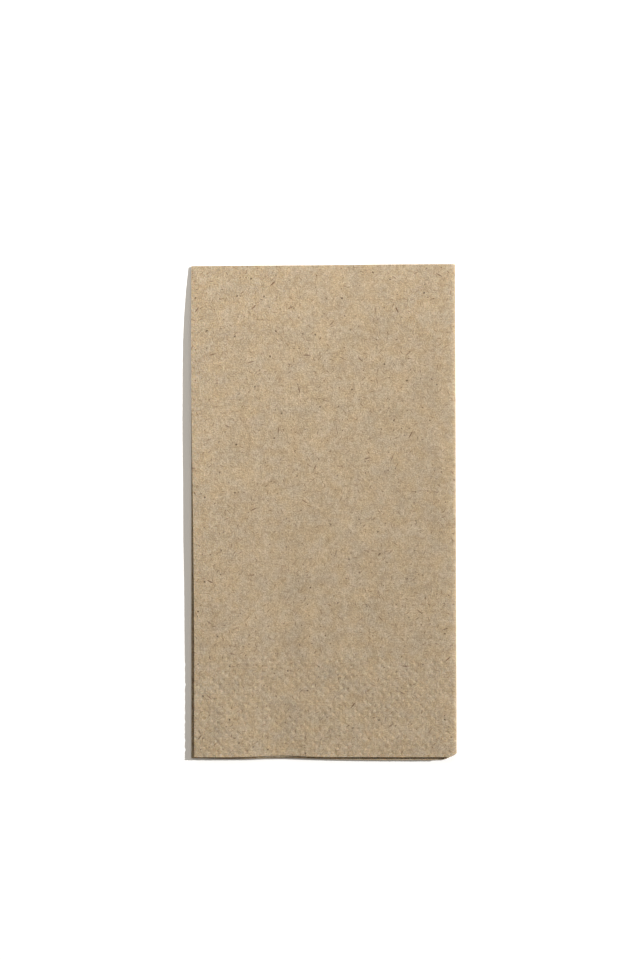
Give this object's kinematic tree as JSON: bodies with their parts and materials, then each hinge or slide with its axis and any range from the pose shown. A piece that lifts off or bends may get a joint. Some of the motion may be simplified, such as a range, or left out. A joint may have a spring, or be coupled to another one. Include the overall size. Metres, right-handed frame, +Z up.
{
  "type": "paper napkin",
  "caption": "Folded brown kraft paper napkin lying flat, for wiping hands and mouth at a table, with soft right and head folds, loose cut edges and an embossed dot border at the foot.",
  "frame": {"origin": "middle of the folded napkin's underside, on the surface that it lies on", "axes": "+Z up out of the top leaf, +Y along the long side towards the first fold, away from the embossed border; +X towards the last folds"},
  "size_m": [0.1026, 0.1924, 0.003],
  "materials": {
    "kraft_tissue": "matt unbleached two-ply tissue"
  },
  "bodies": {
    "root": {"napkin": "kraft_tissue"}
  },
  "joints": []
}
